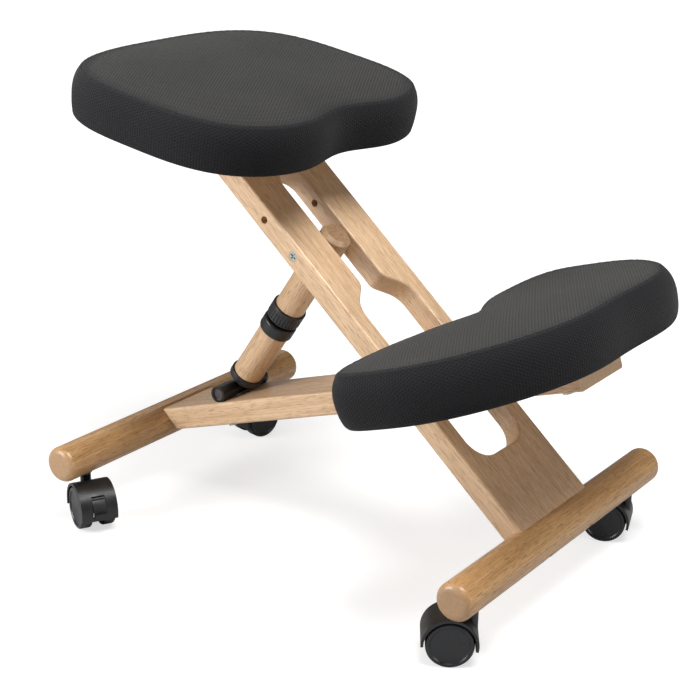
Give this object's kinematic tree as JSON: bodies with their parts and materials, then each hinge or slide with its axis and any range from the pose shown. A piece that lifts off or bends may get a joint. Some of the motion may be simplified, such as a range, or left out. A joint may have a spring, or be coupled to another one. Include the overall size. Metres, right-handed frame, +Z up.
{
  "type": "kneeling chair",
  "caption": "Kneeling chair: padded seat and knee rest on two crossed wooden arms, with a screw strut that sets the height and round foot bars on braked and free twin-wheel casters.",
  "frame": {"origin": "on the floor, under the middle of the whole chair", "axes": "+Z up; -Y the front, where the knee pad is; +X to the left of the person sitting"},
  "size_m": [0.4743, 0.6462, 0.5372],
  "materials": {
    "board_oak": "satin",
    "bar_oak": "satin",
    "strut_oak": "satin",
    "wedge_oak": "satin",
    "plywood": "matte",
    "cover_fabric": "matte",
    "zinc_steel": "satin",
    "bright_steel": "gloss",
    "dark_steel": "satin",
    "black_plastic": "satin",
    "wheel_nylon": "satin"
  },
  "bodies": {
    "knee_frame": {"knee_arm": "board_oak", "rear_foot_bar": "bar_oak", "rear_bar_bolts": "zinc_steel", "rear_bar_nuts": "zinc_steel", "knee_board": "plywood", "knee_cushion": "cover_fabric", "knee_bolts": "zinc_steel", "knee_tee_nuts": "zinc_steel", "pivot_bushes": "black_plastic", "strut_foot_blocks": "black_plastic", "strut_foot_bolts": "zinc_steel", "strut_foot_pin": "dark_steel", "rear_caster_sockets": "dark_steel", "rear_caster_stems": "dark_steel"},
    "seat_frame": {"seat_arm": "board_oak", "front_foot_bar": "bar_oak", "front_bar_bolts": "zinc_steel", "front_bar_nuts": "zinc_steel", "seat_board": "plywood", "seat_cushion": "cover_fabric", "seat_bolts": "zinc_steel", "seat_tee_nuts": "zinc_steel", "seat_wedge": "wedge_oak", "pivot_bolt": "zinc_steel", "pivot_nut": "zinc_steel", "strut_bolt": "bright_steel", "strut_bolt_nut": "bright_steel", "strut_washers": "black_plastic", "front_caster_sockets": "dark_steel", "front_caster_stems": "dark_steel"},
    "strut_foot": {"strut_foot_cup": "black_plastic"},
    "strut_grip_body": {"strut_grip": "strut_oak", "grip_collar": "black_plastic", "grip_snap_ring": "zinc_steel", "strut_screw": "zinc_steel"},
    "strut_upper": {"strut_dowel": "strut_oak", "strut_insert": "zinc_steel", "lock_ring": "black_plastic"},
    "caster_front_right": {"hood_front_right": "black_plastic", "axle_front_right": "dark_steel"},
    "wheel_a_front_right": {"wheel_a_front_right": "wheel_nylon"},
    "wheel_b_front_right": {"wheel_b_front_right": "wheel_nylon"},
    "caster_front_left": {"hood_front_left": "black_plastic", "axle_front_left": "dark_steel"},
    "wheel_a_front_left": {"wheel_a_front_left": "wheel_nylon"},
    "wheel_b_front_left": {"wheel_b_front_left": "wheel_nylon"},
    "caster_rear_right": {"hood_rear_right": "black_plastic", "axle_rear_right": "dark_steel", "brake_pin_rear_right": "dark_steel"},
    "wheel_a_rear_right": {"wheel_a_rear_right": "wheel_nylon"},
    "wheel_b_rear_right": {"wheel_b_rear_right": "wheel_nylon"},
    "brake_rear_right": {"brake_lever_rear_right": "black_plastic"},
    "caster_rear_left": {"hood_rear_left": "black_plastic", "axle_rear_left": "dark_steel", "brake_pin_rear_left": "dark_steel"},
    "wheel_a_rear_left": {"wheel_a_rear_left": "wheel_nylon"},
    "wheel_b_rear_left": {"wheel_b_rear_left": "wheel_nylon"},
    "brake_rear_left": {"brake_lever_rear_left": "black_plastic"}
  },
  "joints": [
    {"name": "height_fold", "type": "hinge", "parent": "knee_frame", "child": "seat_frame", "pos_m": [0, -0.09721, 0.2097], "axis": [1, 0, 0], "range_deg": [0, 11.6]},
    {"name": "strut_lean", "type": "hinge", "parent": "knee_frame", "child": "strut_foot", "pos_m": [0, 0.18844, 0.13756], "axis": [1, 0, 0], "range_deg": [0, 1.92]},
    {"name": "strut_extend", "type": "slide", "parent": "strut_foot", "child": "strut_upper", "axis": [0, -0.5471, 0.8371], "range_m": [0, 0.04017]},
    {"name": "grip_turn", "type": "hinge", "parent": "strut_foot", "child": "strut_grip_body", "pos_m": [0, 0.18844, 0.13756], "axis": [0, -0.5471, 0.8371], "range_deg": [0, 1438.89]},
    {"name": "swivel_front_right", "type": "hinge", "parent": "seat_frame", "child": "caster_front_right", "pos_m": [-0.171, -0.24908, 0.025], "axis": [0, 0, 1], "continuous": true},
    {"name": "roll_a_front_right", "type": "hinge", "parent": "caster_front_right", "child": "wheel_a_front_right", "pos_m": [-0.1833, -0.23084, 0.025], "axis": [0.829, 0.5592, 0], "continuous": true},
    {"name": "roll_b_front_right", "type": "hinge", "parent": "caster_front_right", "child": "wheel_b_front_right", "pos_m": [-0.1833, -0.23084, 0.025], "axis": [0.829, 0.5592, 0], "continuous": true},
    {"name": "swivel_front_left", "type": "hinge", "parent": "seat_frame", "child": "caster_front_left", "pos_m": [0.171, -0.24908, 0.025], "axis": [0, 0, 1], "continuous": true},
    {"name": "roll_a_front_left", "type": "hinge", "parent": "caster_front_left", "child": "wheel_a_front_left", "pos_m": [0.16348, -0.2284, 0.025], "axis": [0.9397, 0.342, 0], "continuous": true},
    {"name": "roll_b_front_left", "type": "hinge", "parent": "caster_front_left", "child": "wheel_b_front_left", "pos_m": [0.16348, -0.2284, 0.025], "axis": [0.9397, 0.342, 0], "continuous": true},
    {"name": "swivel_rear_right", "type": "hinge", "parent": "knee_frame", "child": "caster_rear_right", "pos_m": [-0.171, 0.28192, 0.025], "axis": [0, 0, 1], "continuous": true},
    {"name": "roll_a_rear_right", "type": "hinge", "parent": "caster_rear_right", "child": "wheel_a_rear_right", "pos_m": [-0.18133, 0.2625, 0.025], "axis": [-0.8829, 0.4695, 0], "continuous": true},
    {"name": "roll_b_rear_right", "type": "hinge", "parent": "caster_rear_right", "child": "wheel_b_rear_right", "pos_m": [-0.18133, 0.2625, 0.025], "axis": [-0.8829, 0.4695, 0], "continuous": true},
    {"name": "brake_rear_right", "type": "hinge", "parent": "caster_rear_right", "child": "brake_rear_right", "pos_m": [-0.19154, 0.24329, 0.04199], "axis": [0.8829, -0.4695, 0], "range_deg": [0, 10]},
    {"name": "swivel_rear_left", "type": "hinge", "parent": "knee_frame", "child": "caster_rear_left", "pos_m": [0.171, 0.28192, 0.025], "axis": [0, 0, 1], "continuous": true},
    {"name": "roll_a_rear_left", "type": "hinge", "parent": "caster_rear_left", "child": "wheel_a_rear_left", "pos_m": [0.1494, 0.28612, 0.025], "axis": [0.1908, 0.9816, 0], "continuous": true},
    {"name": "roll_b_rear_left", "type": "hinge", "parent": "caster_rear_left", "child": "wheel_b_rear_left", "pos_m": [0.1494, 0.28612, 0.025], "axis": [0.1908, 0.9816, 0], "continuous": true},
    {"name": "brake_rear_left", "type": "hinge", "parent": "caster_rear_left", "child": "brake_rear_left", "pos_m": [0.12806, 0.29027, 0.04199], "axis": [-0.1908, -0.9816, 0], "range_deg": [0, 10]}
  ],
  "couplings": [
    {"joint": "strut_lean", "follows": "height_fold", "ratio": 0.16184},
    {"joint": "strut_extend", "follows": "height_fold", "m_per_rad": 0.19644},
    {"joint": "grip_turn", "follows": "height_fold", "ratio": 123.43}
  ]
}
